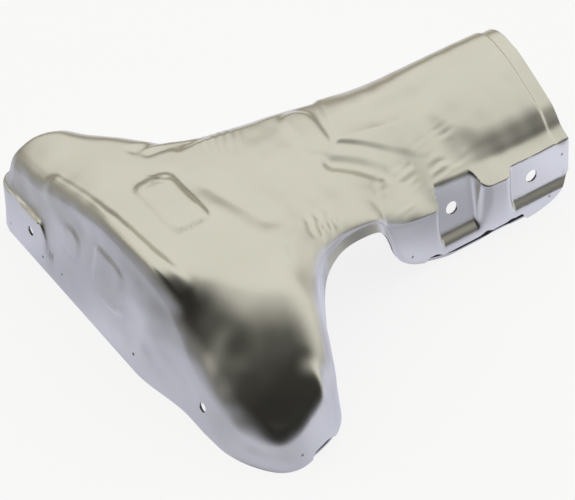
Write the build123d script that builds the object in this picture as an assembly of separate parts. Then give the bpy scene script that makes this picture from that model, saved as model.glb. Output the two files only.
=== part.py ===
from build123d import *

import os

import numpy as np

# Exhaust heat shield pressed from two thin sheets, in millimetres.
# X runs along the arm, Y along the crossbar and Z up from the surface it lies on.

# Overall sizes
LENGTH = 312.0
WIDTH = 280.0
ARM_WIDTH = 104.0
ARM_FRONT = -53.0

# Sheets
SHEET = 0.6
GAP = 0.4
INNER_EDGE_LIFT = 0.12

# Heights of the top
BAR_TOP = 88.0
ARM_TOP = 82.0
NECK_CREST_Y = 16.0
ARM_CREST_Y = 27.0
NECK_SLOPE = 0.4
ARM_SLOPE = 0.645
CREST_RADIUS = 25.0
NECK_ROUNDNESS = 0.0054
BACK_ROUNDNESS = 0.03

# Skirt on the crossbar's outer side
SKIRT_LEAN = 10.0
SKIRT_EDGE = 7.0
LOBE_INSET = 7.0

# Stepped front side of the arm
HEM_HEIGHT = 10.0
SHELF_HEIGHT = 49.0
PAD_FLOOR = 17.0
PAD_A_START = 50.0
PAD_A_END = 84.0
PAD_B_START = 106.0
HEM_LIFT = 4.0

# Bolt holes
ARM_HOLE = 9.0
SKIRT_HOLE = 6.5
CLINCH = 2.0
CLINCH_DEPTH = 0.3
HOLE_REACH = 6.0

LEFT = -LENGTH / 2
END = LENGTH / 2
TIP = -WIDTH / 2
FAR = WIDTH / 2
ARM_BACK = ARM_FRONT + ARM_WIDTH


def smooth(a, b, v):
    t = np.clip((v - a) / (b - a), 0.0, 1.0)
    return t * t * (3.0 - 2.0 * t)


def blend(a, b, m):
    return a + (b - a) * m


def lower(a, b, k):
    h = np.clip(0.5 + 0.5 * (b - a) / k, 0.0, 1.0)
    return blend(b, a, h) - k * h * (1.0 - h)


def curve(points, steps=24):
    p = np.array(points, float)
    ends = np.vstack([2 * p[0] - p[1], p, 2 * p[-1] - p[-2]])
    gaps = np.sqrt(np.linalg.norm(np.diff(ends, axis=0), axis=1))
    knots = np.concatenate([[0.0], np.cumsum(gaps)])
    out = []
    for i in range(1, len(ends) - 2):
        t0, t1, t2, t3 = knots[i - 1:i + 3]
        p0, p1, p2, p3 = ends[i - 1:i + 3]
        t = np.linspace(t1, t2, steps, endpoint=False)[:, None]
        a1 = blend(p0, p1, (t - t0) / (t1 - t0))
        a2 = blend(p1, p2, (t - t1) / (t2 - t1))
        a3 = blend(p2, p3, (t - t2) / (t3 - t2))
        b1 = blend(a1, a2, (t - t0) / (t2 - t0))
        b2 = blend(a2, a3, (t - t1) / (t3 - t1))
        out.append(blend(b1, b2, (t - t1) / (t2 - t1)))
    return np.vstack([*out, p[-1:]])


def along(points, v):
    c = curve(points, 12)
    return np.interp(v, c[:, 0], c[:, 1])


# Rim in plan, from the skirt round the lobe to the arm's end, and round the back
FRONT_RIM = curve((
    (LEFT, TIP + 54), (LEFT + 2, TIP + 34), (LEFT + 9, TIP + 17), (LEFT + 21, TIP + 4), (LEFT + 35, TIP),
    (LEFT + 50, TIP + 2), (LEFT + 66, TIP + 7), (LEFT + 79, TIP + 17), (LEFT + 86, TIP + 33),
    (LEFT + 93, TIP + 51), (LEFT + 105, ARM_FRONT - 17), (LEFT + 125, ARM_FRONT - 5),
    (LEFT + 148, ARM_FRONT - 1), (LEFT + 171, ARM_FRONT), (LEFT + 196, ARM_FRONT), (LEFT + 246, ARM_FRONT),
    (END - 6, ARM_FRONT), (END, ARM_FRONT), (END + 50, ARM_FRONT),
))
BACK_RIM = curve((
    (LEFT, FAR - 14), (LEFT + 3, FAR - 5), (LEFT + 10, FAR - 1), (LEFT + 24, FAR), (LEFT + 38, FAR - 5),
    (LEFT + 49, FAR - 16), (LEFT + 57, FAR - 34), (LEFT + 70, FAR - 50), (LEFT + 84, FAR - 66),
    (LEFT + 100, FAR - 74), (LEFT + 126, FAR - 76), (LEFT + 156, FAR - 77), (LEFT + 186, ARM_BACK + 6),
    (LEFT + 226, ARM_BACK + 1), (LEFT + 266, ARM_BACK), (END, ARM_BACK), (END + 50, ARM_BACK),
))
RIM = np.vstack([FRONT_RIM[::-1], BACK_RIM])

# Height of the rim where the notch lifts it, by distance from the skirt along the front
NOTCH = (
    (66, 0), (80, 2), (88, 16), (96, 40), (106, 55), (118, 59), (138, 59), (156, 55), (162, 49), (166, 40),
    (169, 30), (174, 20), (182, 12.5), (192, 7.5), (208, 2.5), (222, 0), (236, 0),
)

# Height of the cut corner at the arm's end, by distance from that end
CORNER = ((-LENGTH, 0), (-38, 0), (-26, 1.5), (-14, 5.5), (-6, 12), (0, 18))

# Fall of the top along the crossbar, and of the lobe toward its corner
BAR_FALL = ((-140, 0), (4, 0), (49, 2), (90, 6), (114, 9), (140, 14))
LOBE_CENTRE = (-22.0, 11.0)
LOBE_HEADING = np.radians(235.0)
LOBE_FALL = (
    (60, -2), (100, 0.5), (112, 3), (122, 8), (132, 15), (142, 24), (152, 34), (162, 45), (168, 52),
    (174, 59), (182, 68), (192, 75), (204, 80), (260, 84),
)

# Folds beside the back edge: middle, length and angle
BACK_FOLDS = (((-87, 65), 26, 6), ((-80, 55), 30, -8), ((-65, 51), 24, 5))

# Sections across the arm's front side, then over it to the roof: distance in from the rim, then height
HEM = ((0, 0), (0.6, 6), (1.2, HEM_HEIGHT), (2.4, HEM_HEIGHT + 2))
PLAIN_SIDE = ((0, 0), (0.8, 14), (1.8, 28), (3, SHELF_HEIGHT - 9), (7, 110))
PAD_A_SIDE = (
    *HEM, (5.8, PAD_FLOOR - 1.4), (7, PAD_FLOOR + 1), (8, PAD_FLOOR + 4.5),
    (14.5, SHELF_HEIGHT - 1), (32, 125),
)
PAD_B_SIDE = (
    *HEM, (5.2, PAD_FLOOR - 1.4), (6, PAD_FLOOR + 1), (6.5, PAD_FLOOR + 4.5),
    (8.8, SHELF_HEIGHT - 5), (16, 120),
)
SLOPE = (
    (0, SHELF_HEIGHT - 8.5), (6.5, SHELF_HEIGHT - 3.5), (12, SHELF_HEIGHT + 0.5), (20, SHELF_HEIGHT + 6),
    (28, SHELF_HEIGHT + 12), (36, SHELF_HEIGHT + 18.5), (44, SHELF_HEIGHT + 25.5), (56, SHELF_HEIGHT + 37),
    (90, SHELF_HEIGHT + 75),
)
SHELF = (
    (0, SHELF_HEIGHT - 8), (9, SHELF_HEIGHT - 5), (17, SHELF_HEIGHT - 0.6), (18.5, SHELF_HEIGHT + 1),
    (20, SHELF_HEIGHT + 3.5), (23.5, SHELF_HEIGHT + 9), (27, SHELF_HEIGHT + 15.5), (33, SHELF_HEIGHT + 26),
    (60, SHELF_HEIGHT + 76),
)


def rim_distance(x, y):
    best = np.full(x.shape, LENGTH)
    for (ax, ay), (bx, by) in zip(RIM[:-1], RIM[1:]):
        dx = bx - ax
        dy = by - ay
        size = max(dx * dx + dy * dy, 1e-9)
        t = np.clip(((x - ax) * dx + (y - ay) * dy) / size, 0.0, 1.0)
        best = np.minimum(best, np.hypot(x - ax - t * dx, y - ay - t * dy))
    return best


def bar_shape(x, y, centre, length, width, angle, soft):
    a = np.radians(angle)
    u = (x - centre[0]) * np.cos(a) + (y - centre[1]) * np.sin(a)
    v = (y - centre[1]) * np.cos(a) - (x - centre[0]) * np.sin(a)
    far = np.hypot(np.maximum(np.abs(u) - (length - width) / 2, 0.0), v)
    return smooth((width + soft) / 2, (width - soft) / 2, far)


def plate_shape(x, y, centre, length, width, radius, soft):
    u = np.abs(x - centre[0]) - length / 2 + radius
    v = np.abs(y - centre[1]) - width / 2 + radius
    far = np.hypot(np.maximum(u, 0.0), np.maximum(v, 0.0)) + np.minimum(np.maximum(u, v), 0.0) - radius
    return smooth(soft / 2, -soft / 2, far)


def pressings(x, y):
    out = 3.0 * plate_shape(x, y, (LEFT + 50.5, 11), 25, 48, 6, 4.5)
    out = out + 1.1 * plate_shape(x, y, (LEFT + 52, 13), 15, 30, 4, 2.4)
    out = out + 4.0 * bar_shape(x, y, (LEFT + 13.5, 19), 137, 12, 94, 8)
    out = out - 3.2 * bar_shape(x, y, (-73, -9), 56, 12, -75, 18)
    out = out - 2.8 * bar_shape(x, y, (11, -16), 40, 9, -28, 8)
    panel = np.minimum((x - 8.5) * 0.949 - (y - 3) * 0.315, (x - 8.5) * 0.44 + (y - 3) * 0.9)
    out = out + 2.4 * smooth(-2.5, 2.5, panel) * smooth(75, 25, x)
    out = out + 2.0 * bar_shape(x, y, (-2, 21), 42, 20, 82, 7)
    for centre, length, angle in BACK_FOLDS:
        out = out - 1.4 * bar_shape(x, y, centre, length, 4, angle, 7)
    return out - 2.2 * smooth(END - 11.5, END - 8.5, x)


def top_height(x, y):
    toward = (x - LOBE_CENTRE[0]) * np.cos(LOBE_HEADING) + (y - LOBE_CENTRE[1]) * np.sin(LOBE_HEADING)
    across = (y - LOBE_CENTRE[1]) * np.cos(LOBE_HEADING) - (x - LOBE_CENTRE[0]) * np.sin(LOBE_HEADING)
    flank = np.minimum(across + 12, 0.0) ** 2 * smooth(-25, -75, y)
    lobe = BAR_TOP - along(LOBE_FALL, toward + 0.004 * (across + 12) ** 2 + 0.006 * flank)
    tilt = blend(0.0045, 0.0095, smooth(14, 94, y)) * smooth(-76, -6, y)
    bar = BAR_TOP - along(BAR_FALL, y) - tilt * np.minimum(x - LEFT - 51, 0.0) ** 2
    outward = smooth(10, 80, x)
    beside = y - blend(NECK_CREST_Y, ARM_CREST_Y, outward)
    before = blend(NECK_SLOPE, ARM_SLOPE, outward) * (np.hypot(beside, CREST_RADIUS) - CREST_RADIUS)
    behind = blend(NECK_ROUNDNESS, BACK_ROUNDNESS, outward) * beside ** 2
    arm = ARM_TOP - np.where(beside < 0, before, behind)
    return blend(lower(bar, lobe, 6.0), arm, smooth(-75, 30, x)) + pressings(x, y)


def ledge(rise, level):
    foot = 1 - (1 - np.clip(rise / 0.2, 0.0, 1.0)) ** 2
    upper = np.clip((rise - 0.3) / 0.7, 0.0, 1.0) ** 1.6
    return level * foot + (1 - level) * upper


def height(x, y):
    d = rim_distance(x, y)
    top = top_height(x, y)
    lobe = smooth(TIP + 109, TIP + 64, y) * smooth(LEFT + 136, LEFT + 96, x)
    left = smooth(LEFT + 56, LEFT + 21, x)
    right = lobe * smooth(LEFT + 31, LEFT + 61, x)
    tip = smooth(TIP + 29, TIP + 12, y) * smooth(LEFT + 11, LEFT + 26, x) * smooth(LEFT + 71, LEFT + 59, x)
    rear = smooth(24, 49, y) * smooth(LEFT + 4, LEFT + 41, x)
    notch = smooth(LEFT + 81, LEFT + 111, x) * smooth(LEFT + 206, LEFT + 181, x) * smooth(14, -36, y)
    arm = smooth(-5, 50, x) * smooth(24, -6, y)
    edge = blend(SKIRT_EDGE, 10.0, lobe)
    wide = blend(5.0, 10.0, lobe)
    arm_rear = rear * smooth(0, 60, x)
    zones = ((right, 34, 28), (tip, 6, 6), (rear, 22, 18), (arm_rear, 9, 8), (notch, 18, 20))
    for zone, zone_edge, zone_wide in zones:
        edge = blend(edge, zone_edge, zone)
        wide = blend(wide, zone_wide, zone)
    rim_z = along(NOTCH, x - LEFT) * smooth(14, -46, y)
    edge = np.minimum(edge, np.maximum(top - rim_z - 6, 2.0))
    lean = 3.0 + left * (blend(SKIRT_LEAN - 3, 1.5, smooth(-36, -71, y)) - 3 * smooth(34, 104, y))
    shoulder = top - edge
    rise = np.clip(d / lean, 0.0, 1.0)
    end_pad = smooth(FAR - 68, FAR - 52, y) * left
    rise = blend(rise, ledge(rise, np.clip(37 / np.maximum(shoulder, 1.0), 0.0, 0.75)), end_pad)
    turn = np.clip((d - lean) / wide, 0.0, 1.0)
    body = rim_z + (shoulder - rim_z) * rise + edge * np.sqrt(1 - (1 - turn) ** 2)
    pad_a = smooth(PAD_A_START - 4, PAD_A_START + 4, x) * smooth(PAD_A_END + 8, PAD_A_END - 4, x)
    pad_b = smooth(PAD_B_START - 4, PAD_B_START + 4, x)
    side = blend(along(PLAIN_SIDE, d), along(PAD_A_SIDE, d), pad_a)
    side = blend(side, along(PAD_B_SIDE, d), pad_b)
    above = blend(along(SLOPE, d), along(SHELF, d), smooth(72, 112, x))
    arm_z = np.maximum(lower(lower(side, above, 4.0), top, 10.0), rim_z)
    return blend(body, arm_z, arm)


# Places of the bolt holes and clinch points: along the skirt or the arm, then height
PAD_A_HOLE = (PAD_A_START + 15, PAD_FLOOR + 14)
PAD_B_HOLE = (PAD_B_START + 20, PAD_FLOOR + 10.5)
END_PAD_HOLE = (FAR - 42, 22.0)
LOBE_PAD_HOLE = (TIP + 60, 16.0)
SKIRT_CLINCHES = ((FAR - 16, 8), (FAR - 56, 11), (FAR - 76, 11), (TIP + 122, 12))
FRONT_CLINCHES = ((LEFT + 38, 9), (END - 5.5, 33), (END - 19, 9), (LEFT + 184, 17))
SKIRT_PLATE = (17.0, 42.0)


def skirt_pressings(p):
    plate = plate_shape(p[..., 1], p[..., 2], SKIRT_PLATE, 32, 38, 6, 3)
    return 0.9 * plate * smooth(LEFT + 40, LEFT + 20, p[..., 0])


def surface(x, y):
    inset = LOBE_INSET * smooth(-21, -71, y) * smooth(LEFT + 56, LEFT + 6, x)
    return np.stack([x + inset, y, height(x, y)], axis=-1)


def spaced(stops, step):
    out = [stops[0]]
    for a, b in zip(stops[:-1], stops[1:]):
        count = max(round((b - a) / step), 1)
        out.extend(np.linspace(a, b, count + 1)[1:])
    return np.array(out)


def columns_along():
    skirt = LEFT + 36 * np.linspace(0, 1, 18) ** 1.6
    stops = (
        LEFT + 36, -15, 3, 14, 42, PAD_A_START - 4, PAD_A_START + 4, PAD_A_END - 4, PAD_A_END + 8,
        PAD_B_START - 4, PAD_B_START + 4, END - 16,
    )
    end = END - np.array((12, 9.5, 7, 4, 1.5, 0))
    return np.concatenate([skirt[:-1], spaced(stops, 5.5), end])


def slope_factor(edge, columns):
    return np.sqrt(1 + np.minimum(np.gradient(edge, columns) ** 2, 4.0))


def hem_slit(x):
    arm = smooth(PAD_A_START - 13, PAD_A_START - 9, x) * smooth(PAD_B_START + 13, PAD_B_START + 9, x)
    tip = smooth(LEFT + 46, LEFT + 49, x) * smooth(LEFT + 69, LEFT + 66, x)
    return np.maximum(arm, tip)


def form(edge_lift, slit_lift):
    columns = columns_along()
    columns[0] += edge_lift
    front = 37 * np.linspace(0, 1, 17) ** 1.6
    back = 22 * np.linspace(0, 1, 9) ** 1.7
    near_y = np.interp(columns, FRONT_RIM[:, 0], FRONT_RIM[:, 1])
    far_y = np.interp(columns, BACK_RIM[:, 0], BACK_RIM[:, 1])
    corner = along(CORNER, columns - END)
    side = curve(PAD_B_SIDE, 12)
    start = edge_lift + np.interp(corner + slit_lift * hem_slit(columns), side[:, 1], side[:, 0])
    span = far_y - near_y
    front_scale = np.minimum(slope_factor(near_y, columns), 0.45 * span / front[-1])
    back_scale = np.minimum(slope_factor(far_y, columns), 0.35 * span / back[-1])
    front_rows = near_y[:, None] + start[:, None] + front_scale[:, None] * front
    back_rows = far_y[:, None] - edge_lift - back_scale[:, None] * back[::-1]
    steps = np.linspace(0, 1, 20)[1:-1]
    middle = front_rows[:, -1:] + (back_rows[:, :1] - front_rows[:, -1:]) * steps
    y = np.concatenate([front_rows, middle, back_rows], axis=1)
    p = surface(np.repeat(columns[:, None], y.shape[1], axis=1), y)
    return p + normals(p) * skirt_pressings(p)[..., None]


def normals(p):
    n = np.cross(np.gradient(p, axis=0), np.gradient(p, axis=1))
    n[0, 0] = n[0, 1]
    n[0, -1] = n[0, -2]
    n[p[..., 2] < 1.0, 2] = 0.0
    return n / np.linalg.norm(n, axis=-1, keepdims=True)


# Solids
def line_through(points, parts=4):
    gaps = np.sqrt(np.linalg.norm(np.diff(points, axis=0), axis=1))
    knots = np.concatenate([[0.0], np.cumsum(gaps)])
    way = np.gradient(points, knots, axis=0)
    cuts = np.linspace(0, len(points) - 1, parts + 1).round().astype(int)
    edges = []
    for a, b in zip(cuts[:-1], cuts[1:]):
        through = [Vector(*q) for q in points[a:b + 1].tolist()]
        ends = [Vector(*way[a]), Vector(*way[b])]
        stops = (knots[a:b + 1] - knots[a]).tolist()
        edges.append(Edge.make_spline(through, tangents=ends, parameters=stops, scale=False))
    return edges


def between(edges, others):
    return [Face.make_surface_from_curves(a, b) for a, b in zip(edges, others)]


def straight(points):
    corners = [Vector(*q) for q in points.tolist()]
    return [Edge.make_line(a, b) for a, b in zip(corners[:-1], corners[1:])]


def sheet(p, depth):
    n = normals(p)
    outside = p - n * depth
    inside = outside - n * SHEET
    lines_out = [line_through(column) for column in outside]
    lines_in = [line_through(column) for column in inside]
    faces = []
    for lines in (lines_out, lines_in):
        for near, far in zip(lines[:-1], lines[1:]):
            faces.extend(between(near, far))
    for end in (0, -1):
        faces.extend(between(lines_out[end], lines_in[end]))
        faces.extend(between(straight(outside[:, end]), straight(inside[:, end])))
    return Solid(Shell(faces))


def on_skirt(y, z):
    x = LEFT + np.linspace(0, 20, 401)
    return np.interp(z, height(x, np.full_like(x, y)), x), y


def on_front(x, z):
    y = np.interp(x, FRONT_RIM[:, 0], FRONT_RIM[:, 1]) + np.linspace(0, 20, 401)
    return x, np.interp(z, height(np.full_like(y, x), y), y)


def facing(x, y):
    e = 0.25
    p = surface(np.array((x, x - e, x + e, x, x)), np.array((y, y, y, y - e, y + e)))
    n = np.cross(p[2] - p[1], p[4] - p[3])
    return Plane(origin=tuple(p[0]), z_dir=tuple(n / np.linalg.norm(n)))


def peg(plane, diameter, top, bottom):
    upright = (Align.CENTER, Align.CENTER, Align.MIN)
    return plane.offset(bottom) * Cylinder(diameter / 2, top - bottom, align=upright)


arm_planes = [facing(*on_front(*at)) for at in (PAD_A_HOLE, PAD_B_HOLE)]
skirt_planes = [facing(*on_skirt(*at)) for at in (END_PAD_HOLE, LOBE_PAD_HOLE)]
clinch_planes = [facing(*on_skirt(*at)) for at in SKIRT_CLINCHES]
clinch_planes += [facing(*on_front(*at)) for at in FRONT_CLINCHES]
bolt_holes = [peg(at, ARM_HOLE, HOLE_REACH, -HOLE_REACH) for at in arm_planes]
bolt_holes += [peg(at, SKIRT_HOLE, HOLE_REACH, -HOLE_REACH) for at in skirt_planes]
clinch_holes = [peg(at, CLINCH, 2, -SHEET - GAP / 2) for at in clinch_planes]
clinch_pins = [peg(at, CLINCH, -CLINCH_DEPTH, -1.5 * SHEET - GAP) for at in clinch_planes]

outer_sheet = sheet(form(0.0, HEM_LIFT), 0.0) - bolt_holes - clinch_holes
inner_sheet = sheet(form(INNER_EDGE_LIFT, 0.0), SHEET + GAP) - bolt_holes + clinch_pins

os.makedirs("parts", exist_ok=True)
export_step(outer_sheet, "parts/outer_sheet.step")
export_step(inner_sheet, "parts/inner_sheet.step")
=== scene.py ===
# %% [markdown]
# # An exhaust heat shield, dressed for a studio picture
# A heat shield is a thin pressed cover that keeps the heat of an exhaust away from its neighbours.
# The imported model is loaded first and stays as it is. Every new piece is made in metres, in the same
# place as the solid that it stands for, and rides on that solid's body.

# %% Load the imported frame
import math

import bpy
import numpy as np
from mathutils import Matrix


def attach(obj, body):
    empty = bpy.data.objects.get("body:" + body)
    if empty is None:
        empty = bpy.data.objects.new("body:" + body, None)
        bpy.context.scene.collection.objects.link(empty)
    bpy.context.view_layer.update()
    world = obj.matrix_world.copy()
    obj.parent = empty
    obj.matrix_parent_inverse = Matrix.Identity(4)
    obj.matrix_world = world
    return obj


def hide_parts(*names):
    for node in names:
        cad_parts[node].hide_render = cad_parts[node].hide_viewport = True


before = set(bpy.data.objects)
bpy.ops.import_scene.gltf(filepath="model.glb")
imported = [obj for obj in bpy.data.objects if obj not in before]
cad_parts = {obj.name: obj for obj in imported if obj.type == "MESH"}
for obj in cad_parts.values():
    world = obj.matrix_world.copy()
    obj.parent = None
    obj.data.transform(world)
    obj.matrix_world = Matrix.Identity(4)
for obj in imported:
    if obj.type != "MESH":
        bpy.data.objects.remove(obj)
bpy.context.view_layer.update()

MM = 0.001

# %% [markdown]
# ## Soft steps and curves
# A pressing has no sharp corners, because thin sheet tears where it is bent round one. It could be
# sculpted by hand, but a form that is written with soft steps and curves keeps its sizes and can be
# made again. These helpers work on whole arrays at once, so that a fine grid costs little time.


# %% Soft steps
def smooth(a, b, v):
    """Soft step from 0 where v is a to 1 where v is b."""
    t = np.clip((v - a) / (b - a), 0.0, 1.0)
    return t * t * (3.0 - 2.0 * t)


def blend(a, b, m):
    """a where m is 0, and b where m is 1."""
    return a + (b - a) * m


def lower(a, b, k):
    """The lower of two heights, rounded where they come within k of each other."""
    h = np.clip(0.5 + 0.5 * (b - a) / k, 0.0, 1.0)
    return blend(b, a, h) - k * h * (1.0 - h)


print("soft step at the middle:", smooth(0.0, 1.0, 0.5))


# %% Curves
def curve(points, steps=24):
    """Smooth line through a few given points."""
    p = np.array(points, float)
    ends = np.vstack([2 * p[0] - p[1], p, 2 * p[-1] - p[-2]])
    gaps = np.sqrt(np.linalg.norm(np.diff(ends, axis=0), axis=1))
    knots = np.concatenate([[0.0], np.cumsum(gaps)])
    out = []
    for i in range(1, len(ends) - 2):
        t0, t1, t2, t3 = knots[i - 1:i + 3]
        p0, p1, p2, p3 = ends[i - 1:i + 3]
        t = np.linspace(t1, t2, steps, endpoint=False)[:, None]
        a1 = blend(p0, p1, (t - t0) / (t1 - t0))
        a2 = blend(p1, p2, (t - t1) / (t2 - t1))
        a3 = blend(p2, p3, (t - t2) / (t3 - t2))
        b1 = blend(a1, a2, (t - t0) / (t2 - t0))
        b2 = blend(a2, a3, (t - t1) / (t3 - t1))
        out.append(blend(b1, b2, (t - t1) / (t2 - t1)))
    return np.vstack([*out, p[-1:]])


def along(points, v):
    """Second coordinate of a curve where its first one is v."""
    c = curve(points, 12)
    return np.interp(v, c[:, 0], c[:, 1])


print("points on a curve of two spans:", len(curve(((0, 0), (1, 1), (2, 0)))))

# %% [markdown]
# ## The main sizes
# These are the solids' own sizes, in millimetres. X runs along the arm, Y along the crossbar, and
# Z up from the surface that the shield lies on. The ends of the shield are worked out from them, and
# the rim is placed by its distance from those ends.

# %% Sizes of the shield
LENGTH, WIDTH = 312.0, 280.0
ARM_WIDTH, ARM_FRONT = 104.0, -53.0
LEFT, END = -LENGTH / 2, LENGTH / 2
TIP, FAR = -WIDTH / 2, WIDTH / 2
ARM_BACK = ARM_FRONT + ARM_WIDTH
print("shield", LENGTH, "by", WIDTH, "mm, arm", ARM_WIDTH, "mm wide")

# %% [markdown]
# ## The rim
# Seen from above, the trimmed rim is one smooth line round the crossbar, the lobe, the notch and the
# arm. It could be a Bezier curve in the viewport. Here it is two lists of points, near side and far
# side, because both then give one Y for each X. In the notch the rim lifts off the floor.

# %% Rim
FRONT_RIM = curve((
    (LEFT, TIP + 54), (LEFT + 2, TIP + 34), (LEFT + 9, TIP + 17), (LEFT + 21, TIP + 4), (LEFT + 35, TIP),
    (LEFT + 50, TIP + 2), (LEFT + 66, TIP + 7), (LEFT + 79, TIP + 17), (LEFT + 86, TIP + 33),
    (LEFT + 93, TIP + 51), (LEFT + 105, ARM_FRONT - 17), (LEFT + 125, ARM_FRONT - 5),
    (LEFT + 148, ARM_FRONT - 1), (LEFT + 171, ARM_FRONT), (40, ARM_FRONT), (90, ARM_FRONT),
    (END - 6, ARM_FRONT), (END, ARM_FRONT), (END + 50, ARM_FRONT),
))
BACK_RIM = curve((
    (LEFT, FAR - 14), (LEFT + 3, FAR - 5), (LEFT + 10, FAR - 1), (LEFT + 24, FAR), (LEFT + 38, FAR - 5),
    (LEFT + 49, FAR - 16), (LEFT + 57, FAR - 34), (LEFT + 70, FAR - 50), (LEFT + 84, FAR - 66),
    (LEFT + 100, FAR - 74), (LEFT + 126, FAR - 76), (0, FAR - 77), (30, ARM_BACK + 6), (70, ARM_BACK + 1),
    (110, ARM_BACK), (END, ARM_BACK), (END + 50, ARM_BACK),
))
RIM = np.vstack([FRONT_RIM[::-1], BACK_RIM])
# X along the notch, and the height of the rim there.
NOTCH = (
    (-90, 0), (-76, 2), (-68, 16), (-60, 40), (-50, 55), (-38, 59), (-18, 59), (0, 55), (6, 49), (10, 40),
    (13, 30), (18, 20), (26, 12.5), (36, 7.5), (52, 2.5), (66, 0), (80, 0),
)


def rim_distance(x, y):
    """Distance in the plan from each point to the nearest part of the rim."""
    best = np.full(x.shape, LENGTH)
    for (ax, ay), (bx, by) in zip(RIM[:-1], RIM[1:]):
        dx = bx - ax
        dy = by - ay
        size = max(dx * dx + dy * dy, 1e-9)
        t = np.clip(((x - ax) * dx + (y - ay) * dy) / size, 0.0, 1.0)
        best = np.minimum(best, np.hypot(x - ax - t * dx, y - ay - t * dy))
    return best


print("rim points", len(RIM))

# %% [markdown]
# ## Pressings of the top
# The press tool raises a land with a plain pad on it, a long ridge behind the skirt, a panel on the
# arm and a step at the arm's end, and it leaves creases where the crossbar meets the arm. Each one is
# a plain bar or plate with a soft edge, added to the height, so that they flow into each other.


# %% Shapes of pressings
def bar_shape(x, y, centre, length, width, angle, soft):
    """1 inside a bar with round ends, turned by an angle in degrees, and 0 outside."""
    a = math.radians(angle)
    u = (x - centre[0]) * math.cos(a) + (y - centre[1]) * math.sin(a)
    v = (y - centre[1]) * math.cos(a) - (x - centre[0]) * math.sin(a)
    far = np.hypot(np.maximum(np.abs(u) - (length - width) / 2, 0.0), v)
    return smooth((width + soft) / 2, (width - soft) / 2, far)


def plate_shape(x, y, centre, length, width, radius, soft):
    """1 inside a plate with rounded corners, and 0 outside."""
    u = np.abs(x - centre[0]) - length / 2 + radius
    v = np.abs(y - centre[1]) - width / 2 + radius
    far = np.hypot(np.maximum(u, 0.0), np.maximum(v, 0.0)) + np.minimum(np.maximum(u, v), 0.0) - radius
    return smooth(soft / 2, -soft / 2, far)


MIDDLE = np.array([0.0])
print("at its centre a plate is", float(plate_shape(MIDDLE, MIDDLE, (0, 0), 20, 10, 2, 1)[0]))

# %% Pressings
# Height, centre, length, width, corner radius and softness of each plate.
LAND_PLATES = ((3.0, (LEFT + 50.5, 11), 25, 48, 6, 4.5), (1.1, (LEFT + 52, 13), 15, 30, 4, 2.4))
# Height, centre, length, width, angle and softness of each bar.
RIDGE_HEIGHT, *RIDGE = (4.0, (LEFT + 13.5, 19), 137, 12, 94, 8)
RIDGE_NEAR_SHARE, RIDGE_FADE_Y = 0.5, (-52, -22)
CREASES = ((-3.2, (-73, -9), 56, 12, -75, 18), (-2.8, (11, -16), 40, 9, -28, 8))
BACK_BARS = (
    (2.0, (-2, 21), 42, 20, 82, 7), (-1.4, (-87, 65), 26, 4, 6, 7), (-1.4, (-80, 55), 30, 4, -8, 7),
    (-1.4, (-65, 51), 24, 4, 5, 7),
)
PANEL_HEIGHT, PANEL_CORNER, PANEL_EDGE = 2.4, (8.5, 3), 2.5
PANEL_SIDES, PANEL_FADE_X = ((0.949, -0.315), (0.44, 0.9)), (75, 25)
END_STEP, END_STEP_X, END_STEP_SOFT = 2.2, END - 10.0, 0.8


def add_shapes(out, x, y, shape, table):
    """Add each row of a table to the heights: how far it rises, and the sizes of its shape."""
    for rise, *sizes in table:
        out = out + rise * shape(x, y, *sizes)
    return out


def pressings(x, y):
    out = add_shapes(np.zeros_like(x), x, y, plate_shape, LAND_PLATES)
    fade = blend(RIDGE_NEAR_SHARE, 1.0, smooth(*RIDGE_FADE_Y, y))
    out = out + RIDGE_HEIGHT * fade * bar_shape(x, y, *RIDGE)
    out = add_shapes(out, x, y, bar_shape, CREASES)
    panel = np.minimum(*((x - PANEL_CORNER[0]) * a + (y - PANEL_CORNER[1]) * b for a, b in PANEL_SIDES))
    out = out + PANEL_HEIGHT * smooth(-PANEL_EDGE, PANEL_EDGE, panel) * smooth(*PANEL_FADE_X, x)
    out = add_shapes(out, x, y, bar_shape, BACK_BARS)
    return out - END_STEP * smooth(END_STEP_X - END_STEP_SOFT, END_STEP_X + END_STEP_SOFT, x)


print("raised land stands", round(float(pressings(np.array([LEFT + 50.0]), np.array([-5.0]))[0]), 2), "mm")

# %% [markdown]
# ## The domed top
# Three tops meet in one sheet: the crossbar's, which falls to its far end, the lobe's, which falls
# toward the viewer, and the arm's, which slopes to both sides of a crest. Blending them over a long
# way gives the smooth flow of a deep drawing, where joined primitives would leave seams.

# %% Height of the top
BAR_TOP, ARM_TOP = 88.0, 82.0
NECK_CREST_Y, ARM_CREST_Y = 16.0, 27.0
NECK_SLOPE, ARM_SLOPE, CREST_RADIUS = 0.4, 0.645, 25.0
NECK_ROUNDNESS, BACK_ROUNDNESS = 0.0054, 0.03
NEAR_TILT, FAR_TILT, TILT_X = 0.0045, 0.0095, 51
LOBE_CENTRE, LOBE_HEADING, LOBE_CREST = (-22.0, 11.0), math.radians(235.0), 12
LOBE_ROUNDNESS, FLANK_ROUNDNESS = 0.004, 0.006
TOPS_MEET = 6.0
# Where each change along X or Y starts and ends.
FLANK_Y, TILT_Y, FAR_TILT_Y = (-25, -75), (-76, -6), (14, 94)
NECK_X, ARM_X = (-75, 30), (10, 80)
# Y along the crossbar or distance along the lobe, and the fall there.
BAR_FALL = ((-140, 0), (4, 0), (49, 2), (90, 6), (114, 9), (140, 14))
LOBE_FALL = (
    (60, -2), (100, 0.5), (112, 3), (122, 8), (132, 15), (142, 24), (152, 34), (162, 45), (168, 52),
    (174, 59), (182, 68), (192, 75), (204, 80), (260, 84),
)


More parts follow.
